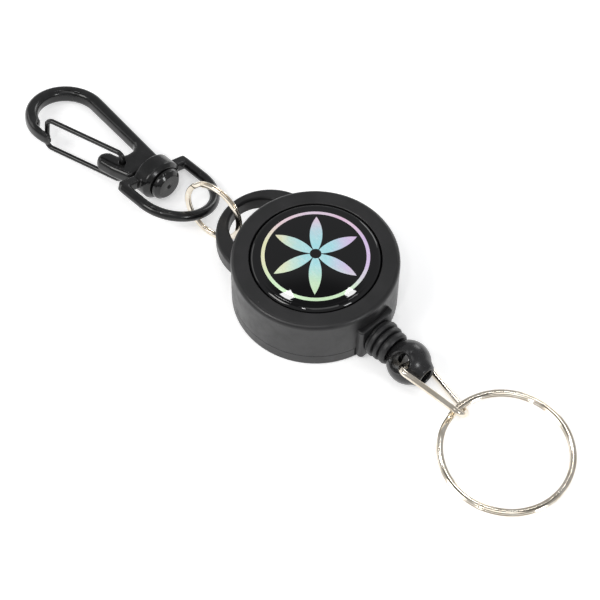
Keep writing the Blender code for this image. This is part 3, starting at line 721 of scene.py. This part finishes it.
def ball_end(look, centre):
    """The ball stop, with its cord hole, a raised lip at each end of the cross hole and an open nose."""
    ball_r, tip = BALL_R / MM, NOSE_TIP / MM
    round_part = [(r / MM, x / MM, 0) for x, r in arc((0, 0), BALL_R, radians(44), pi, 40)[:-1]]
    ball = turned("ball_stop", filleted([
        (0, tip, 0), (2.4, tip, 0.25), (2.8, 5.1, 0.4), *round_part, (0, -ball_r, 0),
    ]), look, steps=128, axis="X")
    tilt = Matrix.Rotation(pi / 2 - HOLE_TILT, 4, "X")
    lip, hole = LIP_R / MM, HOLE_R / MM
    for side in (1, -1):
        collar = turned("lip", filleted([
            (0, LIP_TOP / MM, 0), (lip, LIP_TOP / MM, 0.3), (lip + 0.1, 3.4, 0), (0, 3.4, 0)]), steps=96)
        collar.matrix_world = tilt @ Matrix.Diagonal((1, side, side, 1))
        combined(ball, collar, "UNION", "MANIFOLD")
    cross = turned("cross_hole", filleted([
        (0, 7, 0), (hole + 0.6, 7, 0), (hole + 0.45, 4.75, 0.3), (hole, 4.35, 0.3), (hole, -4.35, 0.3),
        (hole + 0.45, -4.75, 0.3), (hole + 0.6, -7, 0), (0, -7, 0)]), steps=96)
    cross.matrix_world = tilt
    combined(ball, cross, "DIFFERENCE", "MANIFOLD")
    cord_way = CORD_R / MM + 0.3
    inside = turned("ball_bore", filleted([
        (0, 7, 0), (2.1, 7, 0), (2.1, 5.5, 0.1), (1.8, 5.2, 0.15), (1.8, 0, 0), (1.45, 0, 0),
        (1.45, -4.0, 0.2), (cord_way, -4.0, 0), (cord_way, -4.8, 0.2), (cord_way + 0.4, -5.3, 0),
        (0, -5.3, 0)]),
        steps=64, axis="X")
    combined(ball, inside, "DIFFERENCE", "MANIFOLD")
    return crisp(placed(ball, Matrix.Translation(centre)), 40)


def wire_link(look, frame):
    """The bent wire loop, its legs twisting a little on the way to the narrow tip."""
    inner = LINK_HALF - LINK_CORNER
    half = [(0, 0), (0, inner / 2), *arc((LINK_CORNER, inner), LINK_CORNER, pi, pi / 2, 4)]
    tip = LINK_LENGTH - LINK_TIP_R
    u, h = half[-1]
    half += [(u + (tip - u) * i / 8, h + (LINK_TIP_R - h) * i / 8) for i in range(1, 9)]
    half += arc((tip, 0), LINK_TIP_R, pi / 2, 0, 5)[1:]
    points = []
    for u, h in half + [(u, -h) for u, h in reversed(half[1:-1])]:
        tilt = LINK_TILTS[0] + (LINK_TILTS[1] - LINK_TILTS[0]) * min(1, max(0, u / LINK_LENGTH))
        points.append((u, -h * cos(tilt), h * sin(tilt)))
    loop = wire("link_wire", smooth_route(points, 5, True), LINK_WIRE_R, look, 24, True)
    return placed(loop, frame)


def split_ring(name, shape, look, frame):
    """Two turns of flattened wire, one on the other, with a jog between them."""
    radius, width, thickness, start = shape
    pitch = thickness + TURN_GAP
    turns = [2 * pi * k / 24 for k in range(24)]
    section = [(width / 2 * cos(a), thickness / 2 * sin(a)) for a in turns]
    steps = 420
    sweep = 4 * pi - JOG
    path = []
    for i in range(steps + 1):
        gone = sweep * i / steps
        t = min(1.0, max(0.0, (gone - 2 * pi + JOG) / JOG))
        rise = pitch * (t * t * (3 - 2 * t) - 0.5)
        out = Vector((cos(start + gone), sin(start + gone), 0))
        path.append([out * (radius + x) + Vector((0, 0, rise + y)) for x, y in section])
    return placed(swept(name, path, look), frame)


def swivel_yoke(look, frame):
    """The cast yoke: bar, bail and collar in one, bored for the pin."""
    yoke = box("yoke_casting", (YOKE_BAR_X[0], -YOKE_BAR_HALF, -YOKE_BAR_H / 2),
               (YOKE_BAR_X[1], YOKE_BAR_HALF, YOKE_BAR_H / 2), 0.45 * MM, 0.6 * MM)
    bend = [(BAIL_STRAIGHT_X + x, y, 0) for x, y in arc((0, 0), BAIL_HALF, pi / 2, -pi / 2, 48)]
    route = [(0, BAIL_HALF, 0), (BAIL_STRAIGHT_X / 2, BAIL_HALF, 0), *bend,
             (BAIL_STRAIGHT_X / 2, -BAIL_HALF, 0), (0, -BAIL_HALF, 0)]
    bail = wire("bail", [Vector(point) for point in route], BAIL_R, None, 32)
    combined(yoke, bail, "UNION")
    low, high, radius = COLLAR_X[0] / MM, COLLAR_X[1] / MM, COLLAR_R / MM
    collar = turned("collar", filleted([
        (0, high, 0), (radius - 0.9, high, 0.3), (radius, high - 0.9, 0.5), (radius, low, 0.35),
        (0, low, 0)]), steps=96, axis="X")
    collar.scale.y = COLLAR_HALF / COLLAR_R
    combined(yoke, collar, "UNION")
    bore_r = PIN_R + 0.3 * MM
    reach = 6 * MM
    bore = turned("bore", [(0, reach), (bore_r, reach), (bore_r, -reach), (0, -reach)], steps=48, axis="X")
    combined(yoke, bore, "DIFFERENCE")
    return placed(cast(yoke, look), frame)


def hook_body(look, frame):
    """The cast hook: spine, nose, slanted tip, base and the lobe that holds the gate."""
    lean = pi / 2 - SPINE_SLOPE
    outer = arc(NOSE_CENTRE, NOSE_R, lean, NOSE_ENDS[0], 60)
    inner = arc(NOSE_CENTRE, NOSE_R - BAR_W, NOSE_ENDS[1], lean, 48)
    notch = [(-24.2, -11.4), (-24.8, -10.9), (-26.9, -11.15), (-29.1, -11.0)]
    crook = [(-10.2, 2.4), (-9.1, 1.7), (-8.4, 0.5), (-8.3, -1.3), (-9.0, -3.4)]
    lobe_top = [(-10.0, -3.6), (-11.1, -3.9), (-12.0, -4.9), (-12.4, -6.2)]
    lobe_foot = [(-12.0, -7.7), (-10.5, -8.3), (-6.9, -7.7)]
    base = [(HOOK_BASE_X, -5.9 * MM), (HOOK_BASE_X, 3.9 * MM), (-3.2 * MM, 4.35 * MM)]
    outline = base + outer + in_mm(notch) + inner + in_mm(crook + lobe_top + lobe_foot)
    half = HOOK_T / 2
    hook = prism("hook_casting", outline, -half, half, edge=HOOK_EDGE, segments=7, clamped=False)
    applied(hook)
    bore_r = GATE_WIRE_R + 0.2 * MM
    reach = 5 * MM
    gate_hole = turned("gate_hole", [(0, reach), (bore_r, reach), (bore_r, -reach), (0, -reach)], steps=32)
    gate_hole.location = (*GATE_PIVOT, 0)
    combined(hook, gate_hole, "DIFFERENCE")
    return placed(cast(hook, look, 14), frame)


def swivel_pin(look, frame):
    """The pin through the collar, with a dimpled head."""
    low, high = PIN_HEAD_X[0] / MM, PIN_HEAD_X[1] / MM
    head, shank = PIN_HEAD_R / MM, PIN_R / MM
    pin = turned("pin_casting", filleted([
        (0, high - 0.55, 0), (0.3, high - 0.5, 0.2), (0.6, high, 0.3), (head - 0.95, high, 0.35),
        (head - 0.1, high - 0.75, 0.6), (head, low, 0.15), (shank, low, 0), (shank, -2.6, 0), (0, -2.6, 0)]),
        look, steps=96, axis="X", angle=50)
    return placed(pin, frame)


def wire_gate(look, frame):
    """The gate: one wire that goes out to the nose, across and back, its ends turned into the lobe."""
    reach = Vector((GATE_END[0] - GATE_PIVOT[0], GATE_END[1] - GATE_PIVOT[1], 0))
    along = reach.normalized()
    length = reach.length
    bend = GATE_BEND
    half = [(0, 0.5 * MM), (0, GATE_HALF / 2), *arc((bend, GATE_HALF - bend), bend, pi, pi / 2, 5)]
    half += [(length * share, GATE_HALF) for share in (0.3, 0.5, 0.75)]
    half += arc((length - bend, GATE_HALF - bend), bend, pi / 2, 0, 5)
    route = half + [(u, -z) for u, z in reversed(half)]
    pivot = Vector((*GATE_PIVOT, 0))
    points = [pivot + along * u + Vector((0, 0, z)) for u, z in route]
    return placed(wire("gate_wire", smooth_route(points, 5), GATE_WIRE_R, look), frame)


def cord_run(look, ball_at):
    """The cord from the outlet to its knot in the ball."""
    knot = ball_at.x + KNOT_X
    count = 60
    span = knot - CORD_SPLIT_X
    points = [Vector((CORD_SPLIT_X + span * i / count, 0, OUTLET_Z)) for i in range(count + 1)]
    return wire("cord_run", points, CORD_R, look, 16)


def cord_knot(look, ball_at):
    """A small overhand knot, drawn tight."""
    points = []
    for i in range(72):
        t = 2 * pi * i / 72
        turn = Vector((sin(3 * t) * 0.42, sin(t) + 1.1 * sin(2 * t), cos(t) - 1.1 * cos(2 * t)))
        points.append(ball_at + Vector((KNOT_X, 0, 0)) + Vector((turn.x, turn.y * 0.31, turn.z * 0.31)) * MM)
    return wire("cord_knot", points, KNOT_WIRE_R, look, 12, True)


# Stage


def make_camera():
    """The camera, and its directions to the right and back."""
    azimuth, elevation = VIEW_AZIMUTH, VIEW_ELEVATION
    back = Vector((sin(azimuth) * cos(elevation), -cos(azimuth) * cos(elevation), sin(elevation)))
    across = Vector((cos(azimuth), sin(azimuth), 0))
    up = back.cross(across)
    right = across * cos(VIEW_ROLL) + up * sin(VIEW_ROLL)
    upright = up * cos(VIEW_ROLL) - across * sin(VIEW_ROLL)
    data = bpy.data.cameras.new("camera")
    data.angle = VIEW_ANGLE
    data.clip_start = 0.01
    data.clip_end = 20
    camera = bpy.data.objects.new("camera", data)
    at = back * VIEW_DISTANCE - right * VIEW_ASIDE[0] - upright * VIEW_ASIDE[1]
    camera.matrix_world = basis(right, upright, back, at)
    bpy.context.scene.collection.objects.link(camera)
    bpy.context.scene.camera = camera
    return right, back


def softbox(name, towards, distance, size, energy, colour):
    """A rectangular light that faces the object from a direction."""
    data = bpy.data.lights.new(name, "AREA")
    data.shape = "RECTANGLE"
    data.size, data.size_y = size
    data.energy = energy
    data.color = colour
    light = bpy.data.objects.new(name, data)
    direction = towards.normalized()
    light.location = direction * distance
    light.rotation_euler = direction.to_track_quat("Z", "Y").to_euler()
    bpy.context.scene.collection.objects.link(light)


def make_stage():
    """The lights, the sky and the floor."""
    right, back = make_camera()
    level = Vector((right.x, right.y, 0)).normalized()
    front = Vector((back.x, back.y, 0)).normalized()
    above = Vector((0, 0, 1))
    for name, (shares, distance, size, energy, colour) in LIGHTS.items():
        direction = front * shares[0] + level * shares[1] + above * shares[2]
        softbox(name, direction, distance, size, energy, colour)
    world = bpy.data.worlds.new("studio")
    world.use_nodes = True
    nodes, links = world.node_tree.nodes, world.node_tree.links
    sky = nodes.new("ShaderNodeTexCoord")
    parts = nodes.new("ShaderNodeSeparateXYZ")
    fade = nodes.new("ShaderNodeMapRange")
    fade.interpolation_type = "SMOOTHSTEP"
    for socket, value in WORLD_FADE.items():
        fade.inputs[socket].default_value = value
    links.new(sky.outputs["Generated"], parts.inputs[0])
    links.new(parts.outputs["Z"], fade.inputs["Value"])
    links.new(fade.outputs["Result"], nodes["Background"].inputs["Strength"])
    nodes["Background"].inputs["Color"].default_value = (0.97, 0.98, 1.0, 1.0)
    bpy.context.scene.world = world
    bpy.context.scene.view_settings.view_transform = "Standard"
    bm = bmesh.new()
    corners = ((-1, -1), (1, -1), (1, 1), (-1, 1))
    bm.faces.new([bm.verts.new((x * FLOOR_REACH, y * FLOOR_REACH, FLOOR_Z)) for x, y in corners])
    floor = made("floor", bm, pale_floor())


def use(piece, body, slot, *nodes):
    """Puts a fine piece in the place of its CAD nodes."""
    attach(piece, body)
    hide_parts(*nodes)


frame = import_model()
joints = {joint["name"]: joint for joint in frame["joints"]}
BALL_AT = Vector(joints["ball_spin"]["pos_m"])
OUTLET_Z = BALL_AT.z

make_stage()

case_black = moulded_plastic("case_plastic", (0.010, 0.010, 0.0105), (0.016, 0.0155, 0.0165), (0.33, 0.45))
ball_black = moulded_plastic("ball_plastic", (0.012, 0.012, 0.0125), (0.018, 0.018, 0.019), (0.2, 0.3), 0.003)
zinc = painted_zinc()
nickel = nickel_plate()
rubber = black_rubber()
braid = braided_cord()
acetal = white_acetal()
steel = rolled_steel()

use(case_front(case_black), "case", "case_plastic", "case_front")
use(case_back(case_black), "case", "case_plastic", "case_back")
use(label_dome(printed_dome()), "case", "clear_resin", "label_dome")
use(strain_relief(rubber), "case", "black_rubber", "strain_relief")
use(ball_end(ball_black, BALL_AT), "ball", "ball_plastic", "ball_end")

link_at = Vector(joints["link_swing"]["pos_m"])
contact = Vector(joints["key_ring_swing"]["pos_m"])
link_x = (contact - link_at).normalized()
link_y = Vector((0, 0, 1)).cross(link_x).normalized()
link_frame = basis(link_x, link_y, link_x.cross(link_y), link_at)
use(wire_link(nickel, link_frame), "link", "nickel_plate", "wire_link")

ring_tilt = Matrix.Rotation(atan2(contact.z - KEY_RING_FAR_Z, 2 * KEY_RING[0]), 4, "Y")
ring_frame = Matrix.Translation(contact) @ ring_tilt @ Matrix.Translation((KEY_RING[0], 0, 0))
use(split_ring("key_split_ring", KEY_RING, nickel, ring_frame), "key_ring", "nickel_plate", "key_ring")

ring_z = Vector(joints["lug_ring_swing"]["axis"]).normalized()
ring_x = Vector((0, 0, 1)).cross(ring_z).normalized()
lug_frame = basis(ring_x, ring_z.cross(ring_x), ring_z, LUG_RING_CENTRE)
use(split_ring("lug_split_ring", LUG_RING, nickel, lug_frame), "lug_ring", "nickel_plate", "lug_ring")

swivel_at = Vector(joints["hook_spin"]["pos_m"])
swivel_x = Vector(joints["hook_spin"]["axis"]).normalized()
yoke_y = Vector(joints["yoke_swing"]["axis"]).normalized()
yoke_frame = basis(swivel_x, yoke_y, swivel_x.cross(yoke_y), swivel_at)
hook_z = -Vector(joints["gate_open"]["axis"]).normalized()
hook_frame = basis(swivel_x, hook_z.cross(swivel_x), hook_z, swivel_at)
use(swivel_yoke(zinc, yoke_frame), "yoke", "painted_zinc", "swivel_yoke")
use(hook_body(zinc, hook_frame), "hook", "painted_zinc", "hook_body")
use(swivel_pin(zinc, hook_frame), "hook", "painted_zinc", "swivel_pin")
use(wire_gate(zinc, hook_frame), "gate", "painted_zinc", "wire_gate")

knot = cord_knot(braid, BALL_AT)
use(knot, "cord_end", "nylon_cord", "cord_end")
run = cord_run(braid, BALL_AT)
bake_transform(run)

kept = {
    "cord_winding": braid, "cord_lead": braid, "spool": acetal, "spring_cover": acetal, "mainspring": steel,
    "arbor": steel, "centre_screw": nickel, "cord_bush": nickel, "label_disc": case_black,
}
for node, look in kept.items():
    mesh = frame["nodes"][node].data
    mesh.materials.clear()
    mesh.materials.append(look)
